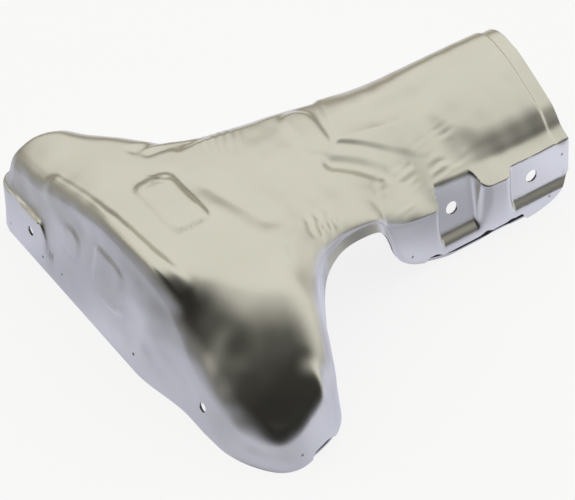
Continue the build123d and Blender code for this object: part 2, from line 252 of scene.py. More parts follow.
def lobe_top(x, y):
    u, v = x - LOBE_CENTRE[0], y - LOBE_CENTRE[1]
    toward = u * math.cos(LOBE_HEADING) + v * math.sin(LOBE_HEADING)
    across = v * math.cos(LOBE_HEADING) - u * math.sin(LOBE_HEADING) + LOBE_CREST
    flank = np.minimum(across, 0.0) ** 2 * smooth(*FLANK_Y, y)
    return BAR_TOP - along(LOBE_FALL, toward + LOBE_ROUNDNESS * across ** 2 + FLANK_ROUNDNESS * flank)


def bar_top(x, y):
    tilt = blend(NEAR_TILT, FAR_TILT, smooth(*FAR_TILT_Y, y)) * smooth(*TILT_Y, y)
    return BAR_TOP - along(BAR_FALL, y) - tilt * np.minimum(x - LEFT - TILT_X, 0.0) ** 2


def arm_top(x, y):
    outward = smooth(*ARM_X, x)
    beside = y - blend(NECK_CREST_Y, ARM_CREST_Y, outward)
    before = blend(NECK_SLOPE, ARM_SLOPE, outward) * (np.hypot(beside, CREST_RADIUS) - CREST_RADIUS)
    behind = blend(NECK_ROUNDNESS, BACK_ROUNDNESS, outward) * beside ** 2
    return ARM_TOP - np.where(beside < 0, before, behind)


def top_height(x, y):
    crossbar = lower(bar_top(x, y), lobe_top(x, y), TOPS_MEET)
    return blend(crossbar, arm_top(x, y), smooth(*NECK_X, x)) + pressings(x, y)


BAR_POINT = (np.array([LEFT + 60.0]), np.array([40.0]))
print("top of the crossbar", round(float(top_height(*BAR_POINT)[0]), 1), "mm")

# %% [markdown]
# ## The arm's stepped front
# The arm's front side has a low hem, two pads with flat floors for the bolts, and a shelf above them.
# It could be cut with booleans, but a pressed step has a radius on every edge. So each stretch has a
# section of its own, drawn inward from the rim, and the sections are blended along the arm.

# %% Sections of the arm's front
HEM_HEIGHT, SHELF_HEIGHT, PAD_FLOOR = 10.0, 49.0, 17.0
PAD_A_START, PAD_A_END, PAD_B_START = 50.0, 84.0, 106.0
PAD_SOFT, PAD_A_END_SOFT, SHELF_X = 4, 8, (72, 112)
SIDE_ROUND, ROOF_ROUND = 4.0, 10.0
# Distance from the rim, and the height there.
HEM = ((0, 0), (0.6, 6), (1.2, HEM_HEIGHT), (2.4, HEM_HEIGHT + 2))
PLAIN_SIDE = ((0, 0), (0.8, 14), (1.8, 28), (3, SHELF_HEIGHT - 9), (7, 110))
PAD_A_SIDE = (
    *HEM, (5.8, PAD_FLOOR - 1.4), (7, PAD_FLOOR + 1), (8, PAD_FLOOR + 4.5), (14.5, SHELF_HEIGHT - 1),
    (32, 125),
)
PAD_B_SIDE = (
    *HEM, (5.2, PAD_FLOOR - 1.4), (6, PAD_FLOOR + 1), (6.5, PAD_FLOOR + 4.5), (8.8, SHELF_HEIGHT - 5),
    (16, 120),
)
SLOPE = (
    (0, SHELF_HEIGHT - 8.5), (6.5, SHELF_HEIGHT - 3.5), (12, SHELF_HEIGHT + 0.5), (20, SHELF_HEIGHT + 6),
    (28, SHELF_HEIGHT + 12), (36, SHELF_HEIGHT + 18.5), (44, SHELF_HEIGHT + 25.5), (56, SHELF_HEIGHT + 37),
    (90, SHELF_HEIGHT + 75),
)
SHELF = (
    (0, SHELF_HEIGHT - 8), (9, SHELF_HEIGHT - 5), (17, SHELF_HEIGHT - 0.6), (18.5, SHELF_HEIGHT + 1),
    (20, SHELF_HEIGHT + 3.5), (23.5, SHELF_HEIGHT + 9), (27, SHELF_HEIGHT + 15.5), (33, SHELF_HEIGHT + 26),
    (60, SHELF_HEIGHT + 76),
)


def arm_height(x, d, top, rim_z):
    pad_a = smooth(PAD_A_START - PAD_SOFT, PAD_A_START + PAD_SOFT, x)
    pad_a = pad_a * smooth(PAD_A_END + PAD_A_END_SOFT, PAD_A_END - PAD_SOFT, x)
    pad_b = smooth(PAD_B_START - PAD_SOFT, PAD_B_START + PAD_SOFT, x)
    side = blend(along(PLAIN_SIDE, d), along(PAD_A_SIDE, d), pad_a)
    side = blend(side, along(PAD_B_SIDE, d), pad_b)
    above = blend(along(SLOPE, d), along(SHELF, d), smooth(*SHELF_X, x))
    return np.maximum(lower(lower(side, above, SIDE_ROUND), top, ROOF_ROUND), rim_z)


print("floor of the pads", PAD_FLOOR, "mm, shelf", SHELF_HEIGHT, "mm above the rim")

# %% [markdown]
# ## The skirt and the whole form
# From the top, the crossbar's sheet falls over a rounded edge to a skirt that leans a little, so that
# the press can let it go. The edge is tight at the skirt and wide round the lobe, so its height and
# width change from zone to zone. The pad at the skirt's far end is a ledge partway up.

# %% Sides of the crossbar
SKIRT_LEAN, PLAIN_LEAN, LOBE_LEAN, FAR_LEAN = 10.0, 3.0, 1.5, 3
SKIRT_EDGE, SKIRT_EDGE_WIDTH, LOBE_EDGE = 7.0, 5.0, 10.0
LEAST_WALL, LEAST_EDGE, EDGE_POWER = 6, 2.0, 2.2
LEDGE_HEIGHT, LEDGE_MOST = 37, 0.75
LEDGE_FOOT, LEDGE_TOP, LEDGE_POWER = 0.2, 0.3, 1.6
# Where each zone starts and ends along X or Y. A zone that has two ends has two pairs.
SKIRT_X, LOBE_X, LOBE_Y, LOBE_RIGHT_X = (LEFT + 56, LEFT + 21), (-20, -60), (-31, -76), (-125, -95)
TIP_Y, TIP_LEFT_X, TIP_RIGHT_X = (TIP + 29, TIP + 12), (-145, -130), (-85, -97)
REAR_X, REAR_Y, ARM_REAR_X = (LEFT + 4, LEFT + 41), (24, 49), (0, 60)
NOTCH_LEFT_X, NOTCH_RIGHT_X, NOTCH_EDGE_Y = (-75, -45), (50, 25), (14, -36)
LOBE_LEAN_Y, FAR_LEAN_Y, LEDGE_Y = (-36, -71), (34, 104), (72, 88)
# Height and width of the rounded edge in each zone.
LOBE_RIGHT_EDGE, TIP_EDGE, REAR_EDGE = (34, 28), (6, 6), (22, 18)
ARM_REAR_EDGE, NOTCH_EDGE = (9, 8), (18, 20)


def edge_size(x, y, lobe):
    """Height and width of the rounded edge between the top and the sides."""
    right = lobe * smooth(*LOBE_RIGHT_X, x)
    tip = smooth(*TIP_Y, y) * smooth(*TIP_LEFT_X, x) * smooth(*TIP_RIGHT_X, x)
    rear = smooth(*REAR_Y, y) * smooth(*REAR_X, x)
    arm_rear = rear * smooth(*ARM_REAR_X, x)
    notch = smooth(*NOTCH_LEFT_X, x) * smooth(*NOTCH_RIGHT_X, x) * smooth(*NOTCH_EDGE_Y, y)
    edge = blend(SKIRT_EDGE, LOBE_EDGE, lobe)
    wide = blend(SKIRT_EDGE_WIDTH, LOBE_EDGE, lobe)
    zones = (
        (right, LOBE_RIGHT_EDGE), (tip, TIP_EDGE), (rear, REAR_EDGE), (arm_rear, ARM_REAR_EDGE),
        (notch, NOTCH_EDGE),
    )
    for zone, (zone_edge, zone_wide) in zones:
        edge = blend(edge, zone_edge, zone)
        wide = blend(wide, zone_wide, zone)
    return edge, wide


def ledge(rise, level):
    """A wall that turns into a ledge at a share of its height, and then rises again."""
    foot = 1 - (1 - np.clip(rise / LEDGE_FOOT, 0.0, 1.0)) ** 2
    upper = np.clip((rise - LEDGE_TOP) / (1 - LEDGE_TOP), 0.0, 1.0) ** LEDGE_POWER
    return level * foot + (1 - level) * upper


def body_height(x, y, d, top, rim_z):
    lobe = smooth(*LOBE_Y, y) * smooth(*LOBE_X, x)
    left = smooth(*SKIRT_X, x)
    edge, wide = edge_size(x, y, lobe)
    edge = np.minimum(edge, np.maximum(top - rim_z - LEAST_WALL, LEAST_EDGE))
    skirt_lean = blend(SKIRT_LEAN - PLAIN_LEAN, LOBE_LEAN, smooth(*LOBE_LEAN_Y, y))
    lean = PLAIN_LEAN + left * (skirt_lean - FAR_LEAN * smooth(*FAR_LEAN_Y, y))
    shoulder = top - edge
    rise = np.clip(d / lean, 0.0, 1.0)
    level = np.clip(LEDGE_HEIGHT / np.maximum(shoulder, 1.0), 0.0, LEDGE_MOST)
    rise = blend(rise, ledge(rise, level), smooth(*LEDGE_Y, y) * left)
    turn = np.clip((d - lean) / wide, 0.0, 1.0)
    rounded = blend(np.sqrt(1 - (1 - turn) ** 2), 1 - (1 - turn) ** EDGE_POWER, left * (1 - lobe))
    return rim_z + (shoulder - rim_z) * rise + edge * rounded


print("skirt leans", SKIRT_LEAN, "mm over its height")

# %% The whole form
LOBE_INSET, INSET_X, INSET_Y = 7.0, (LEFT + 56, LEFT + 6), (-21, -71)
ON_ARM_X, ON_ARM_Y, NOTCH_Y = (-5, 50), (24, -6), (14, -46)


def height(x, y):
    d = rim_distance(x, y)
    top = top_height(x, y)
    rim_z = along(NOTCH, x) * smooth(*NOTCH_Y, y)
    on_arm = smooth(*ON_ARM_X, x) * smooth(*ON_ARM_Y, y)
    return blend(body_height(x, y, d, top, rim_z), arm_height(x, d, top, rim_z), on_arm)


def surface(x, y):
    """Points of the sheet. Beside the lobe the skirt is set in a little."""
    inset = LOBE_INSET * smooth(*INSET_Y, y) * smooth(*INSET_X, x)
    return np.stack([x + inset, y, height(x, y)], axis=-1)


print("crest of the arm", round(float(height(np.array([90.0]), np.array([ARM_CREST_Y]))[0]), 1), "mm")

# %% [markdown]
# ## Marks that the press left
# Deep drawing gathers the thin sheet into small wrinkles where it has too much metal, and leaves
# shallow dents. They could be a bump texture, but real relief also shows at the edges and in the
# mirrored light. They are too fine for the solids, so they are added here to the same form.

# %% Patterns of wrinkles and dents
WAVE_DIRECTIONS, SPOT_CORE = 8, 0.25


def waves(u, v, length, seed):
    """Uneven waves of one length that run in many directions."""
    total = np.zeros_like(u)
    for angle, phase in np.random.default_rng(seed).uniform(0.0, 2 * math.pi, (WAVE_DIRECTIONS, 2)):
        total += np.sin((u * math.cos(angle) + v * math.sin(angle)) * 2 * math.pi / length + phase)
    return total / 2.0


def spot(u, v, centre, radius):
    """1 in the middle of a round spot, and 0 outside."""
    return smooth(radius, SPOT_CORE * radius, np.hypot(u - centre[0], v - centre[1]))


def folds(across, spacing, sway):
    """Even folds that lie side by side and sway a little."""
    return np.sin(across * 2 * math.pi / spacing + sway)


print("one wave reaches", round(float(np.abs(waves(np.arange(90.0), np.arange(90.0), 44, 6)).max()), 2))

# %% Wrinkles and dents
NECK_DEPTH, NOTCH_DEPTH, BACK_DEPTH, BACK_SPACING = 0.24, 0.4, 0.3, 5.2
FAN_MIDDLE_X, FAN_SLOPE, FAN_BEND = 25.0, 0.36, 0.0021
# Where the fan of folds at the neck starts and ends, along the arm and across it.
FAN_NEAR_X, FAN_FAR_X, FAN_LOW, FAN_HIGH = (-2, 20), (94, 64), (-50, -44), (-18, -30)
# Share and spacing of the folds, and the sway, wave length and seed that keep them uneven.
NECK_FOLDS = ((1.0, 4.6, 1.2, 44, 1), (0.8, 7.8, 1.4, 36, 2))
NOTCH_SPOT, BACK_SPOT, BACK_ACROSS = ((-36, -53), 20), ((-50, 43), 22), (0.92, -0.39)
# The folds come and go in patches: their mean, swing and most.
PATCH_MEAN, PATCH_SWING, PATCH_MOST = 0.6, 0.7, 1.6
# Near the lobe the whole sheet's waves are calmer.
LONG_DEPTH, SHORT_DEPTH, LOBE_CALM, CALM_Y = 0.18, 0.05, 0.3, (-75, -35)
SKIRT_LONG_DEPTH, SKIRT_SHORT_DEPTH = 0.3, 0.1
# Length and seed of each kind of waves.
PATCH_WAVES, NOTCH_WAVES, BACK_WAVES, LONG_WAVES, SHORT_WAVES = (21, 3), (7.5, 4), (26, 5), (44, 6), (15, 7)
SKIRT_LONG_WAVES, SKIRT_SHORT_WAVES, DENT_WAVES = (46, 8), (17, 9), (15, 10)
# Place on the skirt (Y and Z), radius and depth of each dented spot.
DENTED_SPOTS = (((-34, 20), 20, 0.12), ((-58, 20), 16, 0.1), ((80, 14), 14, 0.22), ((60, 10), 12, 0.22))


def neck_wrinkles(x, y):
    """Folds that fan out from the neck and bend with the arm."""
    run = x - FAN_MIDDLE_X
    across = y - FAN_SLOPE * run + FAN_BEND * run ** 2
    fan = smooth(*FAN_NEAR_X, x) * smooth(*FAN_FAR_X, x)
    fan = fan * smooth(*FAN_LOW, across) * smooth(*FAN_HIGH, across)
    drawn = np.zeros_like(x)
    for share, spacing, sway, length, seed in NECK_FOLDS:
        drawn += share * folds(across, spacing, sway * waves(x, y, length, seed))
    patches = np.clip(PATCH_MEAN + PATCH_SWING * waves(x, y, *PATCH_WAVES), 0.0, PATCH_MOST)
    return NECK_DEPTH * fan * drawn * patches


def wrinkles(x, y):
    out = neck_wrinkles(x, y)
    out += NOTCH_DEPTH * spot(x, y, *NOTCH_SPOT) * waves(x, y, *NOTCH_WAVES)
    across = BACK_ACROSS[0] * x + BACK_ACROSS[1] * y
    out += BACK_DEPTH * spot(x, y, *BACK_SPOT) * folds(across, BACK_SPACING, waves(x, y, *BACK_WAVES))
    calm = blend(LOBE_CALM, 1.0, smooth(*CALM_Y, y))
    return out + calm * (LONG_DEPTH * waves(x, y, *LONG_WAVES) + SHORT_DEPTH * waves(x, y, *SHORT_WAVES))


def skirt_dents(y, z):
    out = SKIRT_LONG_DEPTH * waves(y, z, *SKIRT_LONG_WAVES)
    out += SKIRT_SHORT_DEPTH * waves(y, z, *SKIRT_SHORT_WAVES)
    for centre, radius, deep in DENTED_SPOTS:
        out += deep * spot(y, z, centre, radius) * waves(y, z, *DENT_WAVES)
    return out


NECK_POINT = (np.array([40.0]), np.array([-32.0]))
print("wrinkle of the neck at one point", round(float(wrinkles(*NECK_POINT)[0]), 2), "mm")

# %% [markdown]
# ## A fine grid over the form
# By hand this would be a grid that is pushed onto the form with a shrinkwrap. Its lines gather at the
# rim, the skirt and the sides of the pads, where the sheet turns quickly. The rim is the grid's own
# border, so nothing has to be trimmed: the cut corner of the arm's end and the slit of the hem only
# start the first row a little higher up the side.

# %% Columns of the grid
SKIRT_FOOT, SKIRT_TOP, SKIRT_PAST = LEFT + 5.5, LEFT + 13, LEFT + 36
WIDE_COLUMNS, WIDENING = 23, 1.2
# First X, last X and number of columns of each even stretch.
SKIRT_STRETCHES = ((LEFT, SKIRT_FOOT, 28), (SKIRT_FOOT, SKIRT_TOP, 34))
ARM_STRETCHES = (
    (SKIRT_PAST, PAD_A_START - 6, 93), (PAD_A_START - 6, PAD_A_START + 6, 18),
    (PAD_A_START + 6, PAD_A_END - 6, 13), (PAD_A_END - 6, PAD_A_END + 12, 33),
    (PAD_A_END + 12, PAD_B_START + 6, 18), (PAD_B_START + 6, END - 16, 16),
)
END_STRETCH = (END - 16, END, 18)


def grid_columns():
    skirt = [np.linspace(*stretch, endpoint=False) for stretch in SKIRT_STRETCHES]
    spread = np.linspace(0, 1, WIDE_COLUMNS, endpoint=False) ** WIDENING
    wide = SKIRT_TOP + (SKIRT_PAST - SKIRT_TOP) * spread
    arm = [np.linspace(*stretch, endpoint=False) for stretch in ARM_STRETCHES]
    return np.concatenate([*skirt, wide, *arm, np.linspace(*END_STRETCH)])


print("columns", len(grid_columns()))

# %% Rows of the grid
# Depth of the close rows at the rim, and of the front and the back rows, in millimetres from the rim.
CLOSE_ROWS, FRONT_ROWS, BACK_ROWS = 10, 37, 22
CLOSE_COUNT, FRONT_COUNT, MIDDLE_COUNT, BACK_COUNT = 33, 27, 72, 30
# The most of the whole way across that the front and the back rows take.
FRONT_SHARE, BACK_SHARE, BACK_WIDENING = 0.45, 0.35, 1.35
STEEPEST, SPREAD = 4.0, 6
# Where the slit starts and ends, at the arm and at the lobe's tip.
SLIT_START_X, SLIT_END_X, TIP_SLIT_START_X, TIP_SLIT_END_X = (37, 41), (119, 115), (-110, -107), (-87, -90)
# Between the pads the slit is this share lower.
BETWEEN_PADS = 0.36
BETWEEN_START_X, BETWEEN_END_X = (PAD_A_END + 1, PAD_A_END + 8), (PAD_B_START + 3, PAD_B_START - 4)
# X along the arm, and the height that is cut off there.
CUT_CORNER = ((LEFT, 0), (END - 38, 0), (END - 26, 1.5), (END - 14, 5.5), (END - 6, 12), (END, 18))


def slope_factor(edge, columns):
    """How much farther apart the rows lie where the rim runs at a slant."""
    slope = np.sqrt(1 + np.minimum(np.gradient(edge, columns) ** 2, STEEPEST))
    count = 2 * SPREAD + 1
    return np.convolve(np.pad(slope, SPREAD, mode="edge"), np.ones(count) / count, mode="valid")


def hem_slit(x):
    """1 where the outer sheet's hem is lifted, so that the inner sheet's edge shows below it."""
    arm = smooth(*SLIT_START_X, x) * smooth(*SLIT_END_X, x)
    tip = smooth(*TIP_SLIT_START_X, x) * smooth(*TIP_SLIT_END_X, x)
    plain = smooth(*BETWEEN_START_X, x) * smooth(*BETWEEN_END_X, x)
    return np.maximum(arm * (1.0 - BETWEEN_PADS * plain), tip)


def grid_rows(columns, edge_lift, slit_lift):
    fine = np.linspace(0, CLOSE_ROWS, CLOSE_COUNT, endpoint=False)
    wide = CLOSE_ROWS + (FRONT_ROWS - CLOSE_ROWS) * np.linspace(0, 1, FRONT_COUNT) ** WIDENING
    front = np.concatenate([fine, wide])
    back = BACK_ROWS * np.linspace(0, 1, BACK_COUNT) ** BACK_WIDENING
    near_y = np.interp(columns, FRONT_RIM[:, 0], FRONT_RIM[:, 1])
    far_y = np.interp(columns, BACK_RIM[:, 0], BACK_RIM[:, 1])
    side = curve(PAD_B_SIDE, 12)
    first_height = along(CUT_CORNER, columns) + slit_lift * hem_slit(columns)
    start = edge_lift + np.interp(first_height, side[:, 1], side[:, 0])
    span = far_y - near_y
    front_scale = np.minimum(slope_factor(near_y, columns), FRONT_SHARE * span / front[-1])
    back_scale = np.minimum(slope_factor(far_y, columns), BACK_SHARE * span / back[-1])
    front_rows = near_y[:, None] + start[:, None] + front_scale[:, None] * front
    back_rows = far_y[:, None] - edge_lift - back_scale[:, None] * back[::-1]
    steps = np.linspace(0, 1, MIDDLE_COUNT)[1:-1]
    middle = front_rows[:, -1:] + (back_rows[:, :1] - front_rows[:, -1:]) * steps
    return np.concatenate([front_rows, middle, back_rows], axis=1)


print("rows", grid_rows(grid_columns(), 0.0, 0.0).shape[1])

# %% Points of the sheets
SHEET, GAP, INNER_EDGE_LIFT = 0.6, 0.4, 0.12
# The solid's slit is 4 mm high. It is opened to 1.45 times that, so that it shows at the picture's size.
HEM_LIFT, HEM_OPENED = 4.0, 1.45
# Below this height the sheet is taken to face sideways, so that its rim stays flat.
FLAT_RIM = 1.0
# Where wrinkles start from the rim, and where the skirt's dents and pads start and end.
WRINKLE_REACH, DENT_LOW_Z, DENT_HIGH_Z, SKIRT_MARKS_X = (3, 9), (0, 8), (78, 62), (LEFT + 40, LEFT + 20)
# Height, centre (Y and Z), length, width, corner radius and softness of the skirt's two plain pads.
SKIRT_PADS = ((1.1, (15.0, 44.0), 30, 34, 5, 2.2), (0.8, (57.0, 42.0), 19, 23, 9.4, 2.2))


def normals(p):
    """Which way the sheet faces at each point of the grid."""
    n = np.cross(np.gradient(p, axis=0), np.gradient(p, axis=1))
    n[0, 0] = n[0, 1]
    n[0, -1] = n[0, -2]
    n[p[..., 2] < FLAT_RIM, 2] = 0.0
    return n / np.linalg.norm(n, axis=-1, keepdims=True)


def form(edge_lift, slit_lift):
    columns = grid_columns()
    columns[0] += edge_lift
    y = grid_rows(columns, edge_lift, slit_lift)
    x = np.repeat(columns[:, None], y.shape[1], axis=1)
    p = surface(x, y)
    p[..., 2] += wrinkles(x, y) * smooth(*WRINKLE_REACH, rim_distance(x, y))
    skirt_y, skirt_z = p[..., 1], p[..., 2]
    pads = add_shapes(np.zeros_like(x), skirt_y, skirt_z, plate_shape, SKIRT_PADS)
    dents = skirt_dents(skirt_y, skirt_z) * smooth(*DENT_LOW_Z, skirt_z) * smooth(*DENT_HIGH_Z, skirt_z)
    out = p + normals(p) * ((pads + dents) * smooth(*SKIRT_MARKS_X, x))[..., None]
    out[..., 0] = np.maximum(out[..., 0], LEFT)
    return out


outer_form = form(0.0, HEM_OPENED * HEM_LIFT)
inner_form = form(INNER_EDGE_LIFT, 0.0)
low, high = outer_form.min(axis=(0, 1)), outer_form.max(axis=(0, 1))
print("grid", outer_form.shape[:2], "lowest", low.round(2), "highest", high.round(2))

# %% [markdown]
# ## Where the bolts and clinches go
# Four bolts hold the shield, and small clinch points press the two sheets together. A hole is set by
# its place along the side and its height. The form gives the point on the sheet and the way the sheet
# faces there, and the hole's axis follows that, as it would under a drill.

# %% Places of holes
# Distances from the rim among which a height is looked up, and the reach of a slope, in millimetres.
SEARCH, REACH = np.linspace(0, 20, 401), 0.25
ARM_HOLE, SKIRT_HOLE, CLINCH, CLINCH_DEPTH = 9.0, 6.5, 2.0, 0.3
# X and height along the front, or Y and height along the skirt.
ARM_BOLTS = ((65.0, 31.0), (126.0, 27.5))
SKIRT_BOLTS = ((98.0, 22.0), (-80.0, 16.0))
SKIRT_CLINCHES = ((124, 8), (84, 11), (64, 11), (-18, 12))
FRONT_CLINCHES = ((-118, 9), (150.5, 33), (137, 9), (28, 17))


def on_skirt(y, z):
    x = LEFT + SEARCH
    return float(np.interp(z, height(x, np.full_like(x, y)), x)), float(y)


def on_front(x, z):
    y = np.interp(x, FRONT_RIM[:, 0], FRONT_RIM[:, 1]) + SEARCH
    return float(x), float(np.interp(z, height(np.full_like(y, x), y), y))


def facing(place):
    """The point of the sheet at a place in the plan, and the way the sheet faces there."""
    x, y = place
    beside = np.array((0.0, -REACH, REACH, 0.0, 0.0))
    p = surface(x + beside, y + np.roll(beside, 2))
    n = np.cross(p[2] - p[1], p[4] - p[3])
    return p[0], n / np.linalg.norm(n)


arm_places = [facing(on_front(*at)) for at in ARM_BOLTS]
skirt_places = [facing(on_skirt(*at)) for at in SKIRT_BOLTS]
clinch_places = [facing(on_skirt(*at)) for at in SKIRT_CLINCHES]
clinch_places += [facing(on_front(*at)) for at in FRONT_CLINCHES]
print("bolt holes", len(arm_places) + len(skirt_places), "clinch points", len(clinch_places))

# %% [markdown]
# ## Modelling the two sheets
# The shield is two thin sheets, one inside the other. Each starts as a grid primitive that is laid
# onto the form. Solidify gives it the sheet's thickness, and round cutters go through it with a
# Boolean modifier. Both modifiers are applied, so that the piece is a plain mesh.


# %% Make a sheet
def only(piece):
    bpy.ops.object.select_all(action="DESELECT")
    piece.select_set(True)
    bpy.context.view_layer.objects.active = piece


def lay_sheet(name, p, depth):
    rows, lines = p.shape[:2]
    bpy.ops.object.select_all(action="DESELECT")
    bpy.ops.mesh.primitive_grid_add(x_subdivisions=rows - 1, y_subdivisions=lines - 1, size=1.0)
    piece = bpy.context.object
    piece.name = name
    piece.data.name = name
    order = np.empty(rows * lines * 3)
    piece.data.vertices.foreach_get("co", order)
    order = order.reshape(-1, 3)
    i = np.rint((order[:, 0] + 0.5) * (rows - 1)).astype(int)
    j = np.rint((order[:, 1] + 0.5) * (lines - 1)).astype(int)
    laid = (p - normals(p) * depth)[i, j] * MM
    piece.data.vertices.foreach_set("co", laid.ravel())
    piece.data.update()
    thick = piece.modifiers.new("thickness", "SOLIDIFY")
    thick.thickness = SHEET * MM
    thick.offset = -1.0
    only(piece)
    bpy.ops.object.modifier_apply(modifier=thick.name)
    return piece


outer = lay_sheet("pressed_outer_sheet", outer_form, 0.0)
inner = lay_sheet("pressed_inner_sheet", inner_form, SHEET + GAP)
print("sheets", outer.name, len(outer.data.vertices), inner.name, len(inner.data.vertices), "vertices")

# %% Cut the holes
PEG_SIDES, BOLT_REACH, CLINCH_REACH = 48, 6.0, 2.0


def pegs(name, places):
    """Round pegs as one object. Each has a place, a diameter, and a top and a bottom along its axis."""
    made = []
    for (point, way), diameter, top, bottom in places:
        middle = (point + way * (top + bottom) / 2) * MM
        pitch = math.acos(max(-1.0, min(1.0, way[2])))
        turn = math.atan2(way[1], way[0])
        bpy.ops.object.select_all(action="DESELECT")
        bpy.ops.mesh.primitive_cylinder_add(
            vertices=PEG_SIDES, radius=diameter / 2 * MM, depth=(top - bottom) * MM,
            location=middle.tolist(), rotation=(0.0, pitch, turn),
        )
        bpy.ops.object.transform_apply(location=True, rotation=True, scale=True)
        made.append(bpy.context.object)
    bpy.ops.object.select_all(action="DESELECT")
    for peg in made:
        peg.select_set(True)
    bpy.context.view_layer.objects.active = made[0]
    bpy.ops.object.join()
    made[0].name = name
    return made[0]


def boolean(piece, tool, operation):
    cut = piece.modifiers.new("holes", "BOOLEAN")
    cut.object = tool
    cut.operation = operation
    cut.solver = "MANIFOLD"
    only(piece)
    bpy.ops.object.modifier_apply(modifier=cut.name)
    bpy.data.objects.remove(tool)


bolts = [(place, ARM_HOLE, BOLT_REACH, -BOLT_REACH) for place in arm_places]
bolts += [(place, SKIRT_HOLE, BOLT_REACH, -BOLT_REACH) for place in skirt_places]
clinch_holes = [(place, CLINCH, CLINCH_REACH, -SHEET - GAP / 2) for place in clinch_places]
# Each pin ends in the middle of the inner sheet.
clinch_pins = [(place, CLINCH, -CLINCH_DEPTH, -1.5 * SHEET - GAP) for place in clinch_places]
boolean(outer, pegs("cutters", bolts + clinch_holes), "DIFFERENCE")
boolean(inner, pegs("cutters", bolts), "DIFFERENCE")
boolean(inner, pegs("pins", clinch_pins), "UNION")
print("cut", len(bolts), "bolt holes and", len(clinch_holes), "clinch points")

# %% Shade the sheets and hand them to the frame
EDGE_ANGLE = math.radians(40)
for piece, node in ((outer, "outer_sheet"), (inner, "inner_sheet")):
    only(piece)
    bpy.ops.object.shade_smooth_by_angle(angle=EDGE_ANGLE)
    # No point of the rim lies below the floor.
    co = np.empty(len(piece.data.vertices) * 3)
    piece.data.vertices.foreach_get("co", co)
    co[2::3] = np.maximum(co[2::3], 0.0)
    piece.data.vertices.foreach_set("co", co)
    piece.data.update()
    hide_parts(node)
    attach(piece, "root")
    piece.data.calc_loop_triangles()
    print(piece.name, "triangles", len(piece.data.loop_triangles))

# %% [markdown]
# ## Aluminised steel sheet
# Rolled steel with a thin coat of aluminium: a satin, slightly warm silver. Fresh from the press it
# has a fine grain, faint cloudy patches where the tool rubbed it, and no paint. A metal shows what it
# mirrors more than a colour of its own, so the finish is plain and the studio does the rest.


# %% Material helpers
def linear(code):
    """sRGB hex code to linear colour."""
    parts = [int(code[k:k + 2], 16) / 255 for k in (1, 3, 5)]
    return tuple(c / 12.92 if c <= 0.04045 else ((c + 0.055) / 1.055) ** 2.4 for c in parts) + (1.0,)


def add(tree, kind, settings=None, values=None, links=None):
    """Add a node with its settings, the values of its inputs and its links."""
    node = tree.nodes.new(kind)
    for key, value in (settings or {}).items():
        setattr(node, key, value)
    for key, value in (values or {}).items():
        node.inputs[key].default_value = value
    for key, source in (links or {}).items():
        tree.links.new(source, node.inputs[key])
    return node


def ramp(low, high, start=0.0, stop=1.0):
    """Values for a map-range node: start at low, stop at high."""
    return {"From Min": low, "From Max": high, "To Min": start, "To Max": stop}


TIMES = {"operation": "MULTIPLY"}
COLOUR = {"data_type": "RGBA"}
print("warm silver is", [round(c, 3) for c in linear("#CCC9BE")])

# %% [markdown]
# ## Painted shade in the gap of the hem
# Between the lifted hem of the outer sheet and the edge of the inner one is a narrow gap, and no light
# comes out of it. At the picture's size the gap is less than a pixel wide, too thin for true shadow
# to show. So shade is painted onto the inner sheet in a band behind the slit, placed by its own
# coordinates.

# %% Painted shade band behind the slit
# First and last X, or first and last height, and the softness beyond them, in millimetres.
ARM_BAND, TIP_BAND, PLAIN_BAND = (40, 116, 4), (-107, -90, 3), (93, 101, 5)
HEIGHT_BAND = (2.3, 8.0, 0.2)
# Toward the notch the rim rises, and between the pads the band starts a little higher.
NOTCH_RISE_FROM, NOTCH_RISE_TO, NOTCH_RISE, NOTCH_RISE_POWER = 66, 36, 7.5, 1.6
PLAIN_RISE = 0.8
OUTWARD_FROM, OUTWARD_TO = -0.3, -0.5


def band(tree, value, low, high, soft):
    """1 between low and high, and 0 beyond the softness. The sizes are in millimetres."""
    up = add(tree, "ShaderNodeMapRange", None, ramp((low - soft) * MM, low * MM), {"Value": value})
    down = add(tree, "ShaderNodeMapRange", None, ramp((high + soft) * MM, high * MM), {"Value": value})
    both = add(tree, "ShaderNodeMath", TIMES, None, {0: up.outputs[0], 1: down.outputs[0]})
    return both.outputs[0]


def rim_rise(tree, x, arm):
    """How far the slit lies above its usual height."""
    sizes = ramp(NOTCH_RISE_FROM * MM, NOTCH_RISE_TO * MM)
    near = add(tree, "ShaderNodeMapRange", None, sizes, {"Value": x}).outputs[0]
    bend = add(tree, "ShaderNodeMath", {"operation": "POWER"}, {1: NOTCH_RISE_POWER}, {0: near})
    on_arm = add(tree, "ShaderNodeMath", TIMES, None, {0: bend.outputs[0], 1: arm})
    notch = add(tree, "ShaderNodeMath", TIMES, {1: NOTCH_RISE * MM}, {0: on_arm.outputs[0]})
    plain = add(tree, "ShaderNodeMath", TIMES, {1: PLAIN_RISE * MM}, {0: band(tree, x, *PLAIN_BAND)})
    rises = {0: notch.outputs[0], 1: plain.outputs[0]}
    return add(tree, "ShaderNodeMath", {"operation": "ADD"}, None, rises).outputs[0]


